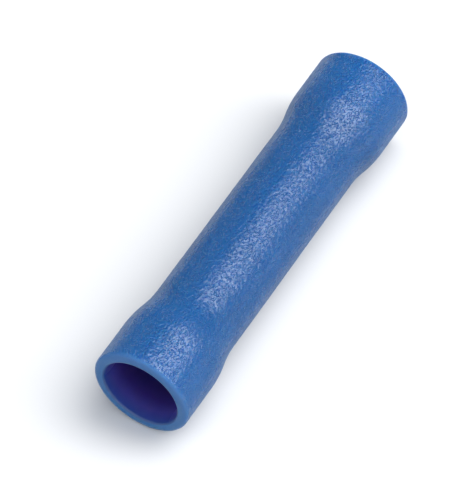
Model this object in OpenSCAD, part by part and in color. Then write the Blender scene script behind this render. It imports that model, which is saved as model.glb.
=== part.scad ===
// Insulated butt splice connector: a crimp barrel held in the middle of a bell-mouthed vinyl sleeve.
// Millimetres. The connector lies on its side: axis along X, underside of the bells on z = 0.

/* [Insulating sleeve] */
// Overall length of the sleeve
sleeve_len = 26; // [24:0.5:34]
// Outside diameter of the bell at each end
bell_od = 6.25; // [5.9:0.05:7.5]
// Outside diameter of the waist between the bells
waist_od = 5.5; // [4.8:0.1:5.9]
// Straight length of each bell, from its end face
bell_len = 3; // [1.5:0.1:4]
// Length of the curved taper from each bell down to the waist
taper_len = 3.2; // [2:0.1:6]
// Inside diameter of the wire entry at each end
mouth_bore = 4.8; // [4.4:0.1:5.4]
// Straight length of each wire entry, from the end face
mouth_len = 3; // [1.5:0.1:4]
// Rounding of the outer edge of each end face
rim_round = 0.25; // [0.05:0.01:0.3]
// Rounding of the inner edge of each end face
lip_round = 0.15; // [0.02:0.01:0.2]

/* [Crimp barrel] */
// Length of the barrel
barrel_len = 15; // [12:0.5:18]
// Outside diameter of the barrel
barrel_od = 3.9; // [3.4:0.1:4.3]
// Bore that takes the stripped conductor
barrel_bore = 2.3; // [1.7:0.1:2.7]
// Rounding of the inner and outer edge of each barrel end
barrel_round = 0.15; // [0.05:0.01:0.3]
// Gap between the butted edges of the rolled strip, half way through its wall
seam_gap = 0.05; // [0.02:0.01:0.2]
// How far round from the top the seam lies, in degrees
seam_turn = 30; // [0:5:355]
// Radial clearance between the barrel and its seat in the sleeve
seat_clearance = 0.02; // [0.01:0.01:0.1]

/* [Wire stop and grip grooves] */
// How far the rolled bead at mid length stands into the bore
stop_depth = 0.5; // [0.3:0.05:0.6]
// Radius of the roller groove that forms the bead
stop_roll_r = 0.6; // [0.5:0.05:1]
// Number of grip grooves in each half of the bore
groove_count = 4; // [1:1:6]
// Spacing of the grip grooves
groove_pitch = 1.2; // [0.6:0.1:1.2]
// Depth of each grip groove
groove_depth = 0.12; // [0.05:0.01:0.2]
// Radius of the rounded section of each grip groove
groove_round = 0.25; // [0.2:0.05:0.4]

/* [Hidden] */
$fn = 96;
arc_fn = 360;
bell_r = bell_od / 2;
waist_r = waist_od / 2;
mouth_r = mouth_bore / 2;
barrel_r = barrel_od / 2;
bore_r = barrel_bore / 2;
barrel_wall = barrel_r - bore_r;
seam_angle = seam_gap / (bore_r + barrel_wall / 2) * 180 / PI;
seat_r = barrel_r + seat_clearance;
// The funnel starts where the straight entry ends and is down to the seat at the barrel's end
funnel_len = (sleeve_len - barrel_len) / 2 - mouth_len;
// The bead keeps the strip's wall, so its curve is concentric with the roller groove
bead_roll_r = stop_roll_r + barrel_wall;
bead_half_len = sqrt(pow(bead_roll_r, 2) - pow(bead_roll_r - stop_depth, 2));
grip_middle = (bead_half_len + barrel_len / 2) / 2;

// Lays a shape that stands along Z on its side along X, at rest on z = 0
module lying() {
    translate([0, 0, bell_r])
        rotate([0, 90, 0])
            children();
}

// Half section, from the axis out and from mid length to one end, of a round form that swells from
// a waist to a bell through two equal arcs that are tangent to each other and to both cylinders
module bell_half(waist_r, bell_r, bell_len, taper_len, half_len) {
    rise = bell_r - waist_r;
    arc_r = (pow(taper_len, 2) + pow(rise, 2)) / (4 * rise);
    waist_end = half_len - bell_len - taper_len;
    bell_start = half_len - bell_len;
    square([waist_r, half_len]);
    translate([waist_r, waist_end])
        difference() {
            square([rise / 2, taper_len]);
            translate([arc_r, 0])
                circle(arc_r, $fn = arc_fn);
        }
    translate([bell_r, bell_start])
        intersection() {
            translate([-rise / 2, -taper_len / 2])
                square([rise / 2, taper_len / 2]);
            translate([-arc_r, 0])
                circle(arc_r, $fn = arc_fn);
        }
    translate([waist_r, bell_start])
        square([rise, bell_len]);
}

// What a rounding of radius r takes off a square corner at the origin that points to +X +Y
module corner_waste(r) {
    translate([-r, -r])
        difference() {
            square(2 * r);
            circle(r);
        }
}

// Half of the sleeve's wall in section, from mid length to one end
module sleeve_half_section() {
    difference() {
        bell_half(waist_r, bell_r, bell_len, taper_len, sleeve_len / 2);
        bell_half(seat_r, mouth_r, mouth_len, funnel_len, sleeve_len / 2);
        translate([bell_r, sleeve_len / 2])
            corner_waste(rim_round);
        translate([mouth_r, sleeve_len / 2])
            mirror([1, 0])
                corner_waste(lip_round);
    }
}

// Half of the barrel's wall in section, from mid length to one end
module barrel_half_section() {
    difference() {
        union() {
            translate([bore_r, 0])
                square([barrel_wall, barrel_len / 2]);
            intersection() {
                translate([bore_r - stop_depth, 0])
                    square([barrel_wall + stop_depth, bead_roll_r]);
                translate([barrel_r - stop_depth + stop_roll_r, 0])
                    circle(bead_roll_r, $fn = arc_fn);
            }
        }
        translate([barrel_r - stop_depth + stop_roll_r, 0])
            circle(stop_roll_r, $fn = arc_fn);
        translate([barrel_r, barrel_len / 2])
            corner_waste(barrel_round);
        translate([bore_r, barrel_len / 2])
            mirror([1, 0])
                corner_waste(barrel_round);
        for (i = [0 : groove_count - 1])
            translate([bore_r, grip_middle + (i - (groove_count - 1) / 2) * groove_pitch])
                translate([groove_depth - groove_round, 0])
                    circle(groove_round);
    }
}

// Both halves of a section, turned about the axis through an angle
module revolved_both_ways(turn = 360) {
    rotate_extrude(angle = turn) {
        children();
        mirror([0, 1])
            children();
    }
}

// Moulded vinyl sleeve: a waist that grips the barrel, and a bell with a funnel at each end
module insulating_sleeve() {
    color([0.24, 0.42, 0.67])
        lying()
            revolved_both_ways()
                sleeve_half_section();
}

// Tinned copper strip rolled into a tube, with a butted seam along it and a rolled bead as wire stop
module crimp_barrel() {
    color([0.80, 0.79, 0.77])
        lying()
            rotate(180 - seam_turn + seam_angle / 2)
                revolved_both_ways(360 - seam_angle)
                    barrel_half_section();
}

insulating_sleeve();
crimp_barrel();
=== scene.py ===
"""Insulated butt splice connector lying on a white table, seen as in the reference photograph."""
import math

import bpy
import numpy as np
from mathutils import Matrix, Vector, noise


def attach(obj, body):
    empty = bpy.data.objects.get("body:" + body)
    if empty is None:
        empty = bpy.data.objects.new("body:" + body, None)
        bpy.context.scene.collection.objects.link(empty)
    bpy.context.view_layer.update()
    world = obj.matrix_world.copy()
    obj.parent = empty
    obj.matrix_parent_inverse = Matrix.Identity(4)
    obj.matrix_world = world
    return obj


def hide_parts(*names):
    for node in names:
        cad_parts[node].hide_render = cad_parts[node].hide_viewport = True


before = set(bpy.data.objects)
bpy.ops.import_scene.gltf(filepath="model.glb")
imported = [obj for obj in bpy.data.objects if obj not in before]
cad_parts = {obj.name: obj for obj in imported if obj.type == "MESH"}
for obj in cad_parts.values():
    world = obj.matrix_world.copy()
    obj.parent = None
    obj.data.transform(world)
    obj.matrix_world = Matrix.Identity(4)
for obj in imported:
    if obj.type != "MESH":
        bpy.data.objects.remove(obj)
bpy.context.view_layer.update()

MM = 0.001
MICRON = 0.000001

# Sleeve, as in the CAD source
SLEEVE_LEN = 26 * MM
BELL_R = 3.125 * MM
WAIST_R = 2.75 * MM
BELL_LEN = 3.0 * MM
TAPER_LEN = 3.2 * MM
MOUTH_R = 2.4 * MM
MOUTH_LEN = 3.0 * MM
SEAT_R = 1.97 * MM
FUNNEL_LEN = 2.5 * MM
RIM_ROUND = 0.25 * MM
LIP_ROUND = 0.15 * MM
AXIS_Z = BELL_R

# Mesh density of the sleeve
AROUND = 256
OUTER_STEPS = 292
FACE_STEPS = 4
RIM_STEPS = 6
LIP_STEPS = 4
INNER_STEPS = 56

# Moulded surface: depth and spacing of the swell, the dimples and the grain in the mesh
SWELL_DEPTH = 24 * MICRON
SWELL_SIZE = 4.0 * MM
DIMPLE_DEPTH = 9 * MICRON
DIMPLE_SIZE = 1.0 * MM
GRAIN_DEPTH = 12 * MICRON
GRAIN_SIZE = 0.24 * MM

# Noise values between which a mottled colour or finish changes
NOISE_SPAN = (0.3, 0.7)

# Vinyl's colours: a pair is for the low and the high end of the mottle
MOTTLE_SIZE = 2.5 * MM
WAIST_COLOURS = ((0.006, 0.090, 0.274), (0.009, 0.100, 0.303))
# The bells are lighter than the waist: a painted glow of light through the thin walls at the ends
BELL_GLOW_COLOURS = ((0.006, 0.101, 0.308), (0.009, 0.112, 0.338))
# The end rim is paler and tealer still: a painted glow of light scattered through the cut ends
RIM_GLOW_COLOURS = ((0.027, 0.144, 0.344), (0.031, 0.154, 0.371))
# Painted shade inside a mouth: the colour goes by depth, as a share of the bore's shade depth,
# from a painted lit band near the lip to darker, more violet painted shade deeper in
BORE_SHADE_DEPTH = 4.0 * MM
BORE_SHADE_COLOURS = (
    (0.0, (0.018, 0.075, 0.20)),
    (0.06, (0.050, 0.088, 0.36)),
    (0.2, (0.085, 0.080, 0.40)),
    (0.4, (0.056, 0.034, 0.25)),
    (0.6, (0.042, 0.024, 0.185)),
    (1.0, (0.046, 0.027, 0.20)),
)
# Distances from the end between which the rim's painted glow turns into the bell's, and the bell's
# painted glow fades into the waist
RIM_TO_BELL = (0.12 * MM, 0.36 * MM)
BELL_GLOW_TO_WAIST = (1.6 * MM, 4.8 * MM)
# Radii between which the bore turns into the end face
BORE_TO_FACE = (MOUTH_R + 0.06 * MM, MOUTH_R + LIP_ROUND)
SCATTER_SCALE = 1.0 * MM
SCATTER_RADIUS = (0.3, 0.6, 1.0)

# Vinyl's gloss, from where it faces the eye to where it turns away (Layer Weight's Facing)
ROUGHNESS = (0.17, 0.40)
ROUGHNESS_FACING = (0.45, 0.85)
SPECULAR = (0.53, 0.22)
SPECULAR_FACING = (0.30, 0.42)

# Vinyl's fine grain: pits in flat ground over a coarser ripple, longer along the axis
FINE_GRAIN_SCALE = (0.62, 1.0, 1.0)
PIT_SIZE = 0.095 * MM
PIT_SPAN = (0.30, 0.51)
RIPPLE_SIZE = 0.20 * MM
RIPPLE_SHARE = 0.55
RELIEF_DEPTH = 80 * MICRON
# Distances from the end between which the smooth rim takes on the grain
SMOOTH_TO_GRAIN = (0.04 * MM, 0.28 * MM)

# Tin on the crimp barrel: drawing marks along the strip, and tarnish
DRAWING_SCALE = (0.08, 1.0, 1.0)
DRAWING_SIZE = 0.12 * MM
DRAWING_DEPTH = 4 * MICRON
TARNISH_SIZE = 1.2 * MM
TIN_COLOURS = ((0.60, 0.59, 0.57), (0.72, 0.71, 0.69))
TIN_ROUGHNESS = (0.24, 0.38)

# Camera, worked out from the outline in the photograph
CAMERA_AZIMUTH = -59.65
CAMERA_ELEVATION = 52.53
CAMERA_DISTANCE = 251.5 * MM
CAMERA_RIGHT = -1.396 * MM
CAMERA_UP = -0.718 * MM
CAMERA_LENS = 310.3
CAMERA_CLIP = (0.01, 10.0)
SENSOR = 36.0

# Light and table: the surround's strength goes from its dim side to its bright one, and the
# floor bounces less light on to the connector than its seen colour would
SOFTBOX_DIRECTION = (0.33, -0.437, 0.837)
SOFTBOX_DISTANCE = 0.34
SOFTBOX_WIDTH = 0.39
SOFTBOX_LENGTH = 0.92
SOFTBOX_RADIANCE = 6.7
SURROUND_BRIGHT_SIDE = (-0.86, -0.25, 0.44)
SURROUND_STRENGTH = (0.20, 1.34)
SURROUND_COLOUR = (0.93, 0.98, 1.06)
FLOOR_SIZE = 4.0
FLOOR_COLOUR = (0.76, 0.76, 0.76)
FLOOR_BOUNCE = (0.34, 0.34, 0.34)
FLOOR_ROUGHNESS = 0.9


def bell_radius(from_end, bell_r, waist_r, bell_len, taper_len):
    """Radius at a distance from the nearer end: straight bell, two equal tangent arcs, waist."""
    rise = bell_r - waist_r
    arc_r = (taper_len ** 2 + rise ** 2) / (4 * rise)
    into_taper = min(max(from_end - bell_len, 0.0), taper_len)
    if into_taper < taper_len / 2:
        return bell_r - (arc_r - math.sqrt(arc_r ** 2 - into_taper ** 2))
    left = taper_len - into_taper
    return waist_r + (arc_r - math.sqrt(arc_r ** 2 - left ** 2))


def arc(centre_x, centre_r, radius, start, end, steps):
    """Points of an arc in the (x, r) half plane, both ends included, degrees from +x to +r."""
    angles = [math.radians(start + (end - start) * i / steps) for i in range(steps + 1)]
    return [(centre_x + radius * math.cos(a), centre_r + radius * math.sin(a)) for a in angles]


def sleeve_section():
    """Outline of the sleeve's wall in the (x, r) half plane, and which points lie outside."""
    half = SLEEVE_LEN / 2
    points, outside = [], []

    def add(new, is_outside):
        points.extend(new)
        outside.extend([is_outside] * len(new))

    def run(start, end, steps, *profile):
        xs = [start + (end - start) * i / steps for i in range(steps + 1)]
        return [(x, bell_radius(half - abs(x), *profile)) for x in xs]

    straight, entry = half - RIM_ROUND, half - LIP_ROUND
    outer = run(-straight, straight, OUTER_STEPS, BELL_R, WAIST_R, BELL_LEN, TAPER_LEN)
    inner = run(entry, -entry, INNER_STEPS, MOUTH_R, SEAT_R, MOUTH_LEN, FUNNEL_LEN)
    rim_r, lip_r = BELL_R - RIM_ROUND, MOUTH_R + LIP_ROUND
    face = [lip_r + (rim_r - lip_r) * i / FACE_STEPS for i in range(1, FACE_STEPS)]

    add(arc(-straight, rim_r, RIM_ROUND, 180, 90, RIM_STEPS)[:-1], True)
    add(outer, True)
    add(arc(straight, rim_r, RIM_ROUND, 90, 0, RIM_STEPS)[1:], True)
    add([(half, r) for r in reversed(face)], False)
    add(arc(entry, lip_r, LIP_ROUND, 0, -90, LIP_STEPS)[:-1], False)
    add(inner, False)
    add(arc(-entry, lip_r, LIP_ROUND, 270, 180, LIP_STEPS)[1:], False)
    add([(-half, r) for r in face], False)
    return np.array(points), np.array(outside)


def unevenness(place, size):
    """Smooth noise from 0 to 1 with features of a given size."""
    return min(max(0.5 + 0.5 * noise.noise(place / size), 0.0), 1.0)


def add_object(name, data):
    """New object in the scene."""
    made = bpy.data.objects.new(name, data)
    bpy.context.scene.collection.objects.link(made)
    return made


def make_sleeve():
    """Lathe of the sleeve's section, its outside dented inwards by swell, dimples and grain."""
    section, outside = sleeve_section()
    count = len(section)
    along = np.roll(section, -1, axis=0) - np.roll(section, 1, axis=0)
    along /= np.linalg.norm(along, axis=1)[:, None]
    inward = np.stack([along[:, 1], -along[:, 0]], axis=1)

    vertices = []
    for (x, r), (in_x, in_r), is_outside in zip(section, inward, outside):
        for k in range(AROUND):
            turn = 2 * math.pi * k / AROUND
            c, s = math.cos(turn), math.sin(turn)
            depth = 0.0
            if is_outside:
                place = Vector((x, r * c, r * s))
                depth = SWELL_DEPTH * unevenness(place, SWELL_SIZE)
                depth += DIMPLE_DEPTH * unevenness(place, DIMPLE_SIZE)
                depth += GRAIN_DEPTH * unevenness(place, GRAIN_SIZE)
            radius = r + depth * in_r
            vertices.append((x + depth * in_x, radius * c, AXIS_Z + radius * s))
    faces = []
    for i in range(count):
        j = (i + 1) % count
        for k in range(AROUND):
            m = (k + 1) % AROUND
            faces.append((i * AROUND + k, i * AROUND + m, j * AROUND + m, j * AROUND + k))

    mesh = bpy.data.meshes.new("vinyl_sleeve")
    mesh.from_pydata(vertices, [], faces)
    mesh.polygons.foreach_set("use_smooth", [True] * len(mesh.polygons))
    mesh.update()
    mesh.materials.append(vinyl())
    sleeve = add_object("vinyl_sleeve", mesh)
    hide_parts("insulating_sleeve")
    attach(sleeve, "root")


def new_material(name):
    """A principled material, with its nodes, its links, its shader and object coordinates."""
    material = bpy.data.materials.new(name)
    material.use_nodes = True
    nodes, links = material.node_tree.nodes, material.node_tree.links
    shader = nodes["Principled BSDF"]
    place = nodes.new("ShaderNodeTexCoord").outputs["Object"]
    return material, nodes, links, shader, place


def noise_node(nodes, links, place, size, detail, roughness):
    """Noise with features of a given size in metres."""
    node = nodes.new("ShaderNodeTexNoise")
    node.inputs["Scale"].default_value = 1 / size
    node.inputs["Detail"].default_value = detail
    node.inputs["Roughness"].default_value = roughness
    links.new(place, node.inputs["Vector"])
    return node.outputs["Fac"]


def scaled_node(nodes, links, place, scale):
    """Coordinates times a scale for each axis."""
    node = nodes.new("ShaderNodeMapping")
    node.inputs["Scale"].default_value = scale
    links.new(place, node.inputs["Vector"])
    return node.outputs["Vector"]


def ramp_node(nodes, links, factor, stops):
    """Colour ramp with (position, colour) stops."""
    node = nodes.new("ShaderNodeValToRGB")
    while len(node.color_ramp.elements) < len(stops):
        node.color_ramp.elements.new(0.5)
    for element, (position, colour) in zip(node.color_ramp.elements, stops):
        element.position = position
        element.color = (*colour, 1.0)
    links.new(factor, node.inputs["Fac"])
    return node.outputs["Color"]


def mottle_node(nodes, links, mottle, colours):
    """Colour that goes from the first to the second of a pair with a noise."""
    return ramp_node(nodes, links, mottle, list(zip(NOISE_SPAN, colours)))


def mix_node(nodes, links, factor, first, second):
    """Mix of two colours."""
    node = nodes.new("ShaderNodeMix")
    node.data_type = "RGBA"
    links.new(factor, node.inputs["Factor"])
    links.new(first, node.inputs["A"])
    links.new(second, node.inputs["B"])
    return node.outputs["Result"]


def range_node(nodes, links, value, span, result=(0.0, 1.0), step="LINEAR"):
    """Maps a span of a value to another span, clamped."""
    node = nodes.new("ShaderNodeMapRange")
    node.interpolation_type = step
    node.inputs["From Min"].default_value, node.inputs["From Max"].default_value = span
    node.inputs["To Min"].default_value, node.inputs["To Max"].default_value = result
    links.new(value, node.inputs["Value"])
    return node.outputs["Result"]


def math_node(nodes, links, operation, *values):
    """Result of an operation on other nodes' outputs and plain numbers."""
    node = nodes.new("ShaderNodeMath")
    node.operation = operation
    for socket, value in zip(node.inputs, values):
        if isinstance(value, bpy.types.NodeSocket):
            links.new(value, socket)
        else:
            socket.default_value = value
    return node.outputs["Value"]


def length_node(nodes, links, vector):
    """Length of a vector."""
    node = nodes.new("ShaderNodeVectorMath")
    node.operation = "LENGTH"
    links.new(vector, node.inputs[0])
    return node.outputs["Value"]


def bump_node(nodes, links, height, distance, strength=None):
    """Bump of a height in metres, as strong as another node says if there is one."""
    node = nodes.new("ShaderNodeBump")
    node.inputs["Distance"].default_value = distance
    links.new(height, node.inputs["Height"])
    if strength is not None:
        links.new(strength, node.inputs["Strength"])
    return node.outputs["Normal"]


def radius_from_axis(nodes, links, place):
    """Distance of a point from the connector's axis."""
    parts = nodes.new("ShaderNodeSeparateXYZ")
    links.new(place, parts.inputs["Vector"])
    above_axis = math_node(nodes, links, "SUBTRACT", parts.outputs["Z"], AXIS_Z)
    flat = nodes.new("ShaderNodeCombineXYZ")
    links.new(parts.outputs["Y"], flat.inputs["Y"])
    links.new(above_axis, flat.inputs["Z"])
    return length_node(nodes, links, flat.outputs["Vector"])


def depth_from_end(nodes, links, place):
    """Distance of a point from the nearer end of the connector, along its axis."""
    parts = nodes.new("ShaderNodeSeparateXYZ")
    links.new(place, parts.inputs["Vector"])
    from_middle = math_node(nodes, links, "ABSOLUTE", parts.outputs["X"])
    return math_node(nodes, links, "SUBTRACT", SLEEVE_LEN / 2, from_middle)


def vinyl():
    """Blue vinyl with a fine grain of pits outside, painted shade that makes it deeper and more
    violet inside the mouths, and a painted glow that lightens the bells and rims.
    """
    material, nodes, links, shader, place = new_material("blue_vinyl")
    mottle = noise_node(nodes, links, place, MOTTLE_SIZE, detail=3, roughness=0.5)
    waist = mottle_node(nodes, links, mottle, WAIST_COLOURS)
    # Painted glow: the bells and the end rim are lighter than the waist
    bell = mottle_node(nodes, links, mottle, BELL_GLOW_COLOURS)
    rim = mottle_node(nodes, links, mottle, RIM_GLOW_COLOURS)
    depth = depth_from_end(nodes, links, place)
    bell_glow_fade = range_node(nodes, links, depth, BELL_GLOW_TO_WAIST)
    from_rim = range_node(nodes, links, depth, RIM_TO_BELL)
    beyond_rim = mix_node(nodes, links, bell_glow_fade, bell, waist)
    outside = mix_node(nodes, links, from_rim, rim, beyond_rim)
    into_bore_shade = range_node(nodes, links, depth, (0.0, BORE_SHADE_DEPTH))
    # Painted shade: the bore darkens and turns violet with depth, past a painted lit band near the
    # lip
    inside = ramp_node(nodes, links, into_bore_shade, BORE_SHADE_COLOURS)
    radius = radius_from_axis(nodes, links, place)
    out_of_bore = range_node(nodes, links, radius, BORE_TO_FACE)
    colour = mix_node(nodes, links, out_of_bore, inside, outside)
    links.new(colour, shader.inputs["Base Color"])
    shader.inputs["Subsurface Weight"].default_value = 1.0
    shader.inputs["Subsurface Scale"].default_value = SCATTER_SCALE
    shader.inputs["Subsurface Radius"].default_value = SCATTER_RADIUS

    # The socket keeps the level of vinyl that faces the eye, for an export that drops the link
    facing = nodes.new("ShaderNodeLayerWeight").outputs["Facing"]
    dulling = range_node(nodes, links, facing, ROUGHNESS_FACING, ROUGHNESS)
    links.new(dulling, shader.inputs["Roughness"])
    shine = range_node(nodes, links, facing, SPECULAR_FACING, SPECULAR, "SMOOTHSTEP")
    shader.inputs["Specular IOR Level"].default_value = SPECULAR[0]
    links.new(shine, shader.inputs["Specular IOR Level"])

    drawn = scaled_node(nodes, links, place, FINE_GRAIN_SCALE)
    grain = noise_node(nodes, links, drawn, PIT_SIZE, detail=0, roughness=0.4)
    pits = range_node(nodes, links, grain, PIT_SPAN, step="SMOOTHSTEP")
    ripple = noise_node(nodes, links, drawn, RIPPLE_SIZE, detail=1, roughness=0.5)
    relief = math_node(nodes, links, "MULTIPLY_ADD", ripple, RIPPLE_SHARE, pits)
    off_the_rim = range_node(nodes, links, depth, SMOOTH_TO_GRAIN)
    strength = math_node(nodes, links, "MULTIPLY", out_of_bore, off_the_rim)
    bump = bump_node(nodes, links, relief, RELIEF_DEPTH, strength)
    links.new(bump, shader.inputs["Normal"])
    return material


def tinned_copper():
    """Dull bright tin over copper, drawn along the strip."""
    material, nodes, links, shader, place = new_material("tinned_copper")
    stretched = scaled_node(nodes, links, place, DRAWING_SCALE)
    drawn = noise_node(nodes, links, stretched, DRAWING_SIZE, detail=3, roughness=0.6)
    tarnish = noise_node(nodes, links, place, TARNISH_SIZE, detail=4, roughness=0.6)
    links.new(mottle_node(nodes, links, tarnish, TIN_COLOURS), shader.inputs["Base Color"])
    shader.inputs["Metallic"].default_value = 1.0
    dulling = range_node(nodes, links, drawn, NOISE_SPAN, TIN_ROUGHNESS)
    links.new(dulling, shader.inputs["Roughness"])
    links.new(bump_node(nodes, links, drawn, DRAWING_DEPTH), shader.inputs["Normal"])
    return material


def dress_barrel():
    """The crimp barrel keeps its CAD form and takes the tinned copper."""
    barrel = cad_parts["crimp_barrel"]
    metal = tinned_copper()
    if not barrel.material_slots:
        barrel.data.materials.append(metal)
    for slot in barrel.material_slots:
        slot.material = metal


def seen_ray(nodes, links):
    """1 for a ray from the camera, a reflection or a clear body, and 0 for light that bounces."""
    path = nodes.new("ShaderNodeLightPath")
    seen = path.outputs["Is Camera Ray"]
    for kind in ("Is Glossy Ray", "Is Transmission Ray"):
        seen = math_node(nodes, links, "MAXIMUM", seen, path.outputs[kind])
    return seen


def make_floor():
    """White table top that catches the shadow."""
    side = FLOOR_SIZE / 2
    corners = [(-side, -side, 0), (side, -side, 0), (side, side, 0), (-side, side, 0)]
    mesh = bpy.data.meshes.new("floor")
    mesh.from_pydata(corners, [], [(0, 1, 2, 3)])
    material = bpy.data.materials.new("white_table")
    material.use_nodes = True
    nodes, links = material.node_tree.nodes, material.node_tree.links
    shader = nodes["Principled BSDF"]
    tone = nodes.new("ShaderNodeMix")
    tone.data_type = "RGBA"
    tone.inputs["A"].default_value = (*FLOOR_BOUNCE, 1.0)
    tone.inputs["B"].default_value = (*FLOOR_COLOUR, 1.0)
    links.new(seen_ray(nodes, links), tone.inputs["Factor"])
    links.new(tone.outputs["Result"], shader.inputs["Base Color"])
    shader.inputs["Roughness"].default_value = FLOOR_ROUGHNESS
    shader.inputs["Specular IOR Level"].default_value = 0.0
    mesh.materials.append(material)
    floor = add_object("floor", mesh)


def make_surround():
    """Pale surround, brighter on one side."""
    world = bpy.data.worlds.new("surround")
    bpy.context.scene.world = world
    world.use_nodes = True
    nodes, links = world.node_tree.nodes, world.node_tree.links
    nodes.clear()
    lighting = nodes.new("ShaderNodeBackground")
    lighting.inputs["Color"].default_value = (*SURROUND_COLOUR, 1.0)
    lit_side = nodes.new("ShaderNodeVectorMath")
    lit_side.operation = "DOT_PRODUCT"
    lit_side.inputs[1].default_value = SURROUND_BRIGHT_SIDE
    links.new(nodes.new("ShaderNodeTexCoord").outputs["Generated"], lit_side.inputs[0])
    strength = range_node(nodes, links, lit_side.outputs["Value"], (0.0, 1.0), SURROUND_STRENGTH)
    links.new(strength, lighting.inputs["Strength"])
    output = nodes.new("ShaderNodeOutputWorld")
    links.new(lighting.outputs["Background"], output.inputs["Surface"])


def aim(thing, place, right, up, back):
    """Puts a lamp or camera at a place, looking away from back."""
    turned = Matrix((right, up, back)).transposed().to_4x4()
    thing.matrix_world = Matrix.Translation(place) @ turned


def make_softbox():
    """Long softbox across the connector, above it and to its right, that fades out to its edges.
    """
    lamp = bpy.data.lights.new("softbox", "AREA")
    lamp.shape = "RECTANGLE"
    lamp.size = SOFTBOX_WIDTH
    lamp.size_y = SOFTBOX_LENGTH
    lamp.energy = SOFTBOX_RADIANCE * math.pi * SOFTBOX_WIDTH * SOFTBOX_LENGTH
    lamp.use_nodes = True
    nodes, links = lamp.node_tree.nodes, lamp.node_tree.links
    centred = nodes.new("ShaderNodeMapping")
    centred.inputs["Location"].default_value = (-1.0, -1.0, 0.0)
    centred.inputs["Scale"].default_value = (2.0, 2.0, 1.0)
    on_lamp = nodes.new("ShaderNodeNewGeometry").outputs["Parametric"]
    links.new(on_lamp, centred.inputs["Vector"])
    from_middle = length_node(nodes, links, centred.outputs["Vector"])
    falloff = range_node(nodes, links, from_middle, (0.0, 1.0), (1.0, 0.0), "SMOOTHSTEP")
    links.new(falloff, nodes["Emission"].inputs["Strength"])
    back = Vector(SOFTBOX_DIRECTION).normalized()
    across = back.cross(Vector((1, 0, 0))).normalized()
    place = Vector((0, 0, AXIS_Z)) + back * SOFTBOX_DISTANCE
    aim(add_object("softbox", lamp), place, across.cross(back), across, back)


def make_camera():
    """Camera that sees the connector as the photograph does."""
    turn, lift = math.radians(CAMERA_AZIMUTH), math.radians(CAMERA_ELEVATION)
    level = math.cos(lift)
    back = Vector((math.sin(turn) * level, -math.cos(turn) * level, math.sin(lift)))
    right = Vector((math.cos(turn), math.sin(turn), 0))
    up = back.cross(right)
    data = bpy.data.cameras.new("camera")
    data.sensor_width = SENSOR
    data.lens = CAMERA_LENS
    data.clip_start, data.clip_end = CAMERA_CLIP
    camera = add_object("camera", data)
    place = Vector((0, 0, AXIS_Z)) + right * CAMERA_RIGHT + up * CAMERA_UP + back * CAMERA_DISTANCE
    aim(camera, place, right, up, back)
    bpy.context.scene.camera = camera


make_sleeve()
dress_barrel()
make_floor()
make_surround()
make_softbox()
make_camera()
bpy.context.scene.view_settings.view_transform = "Standard"
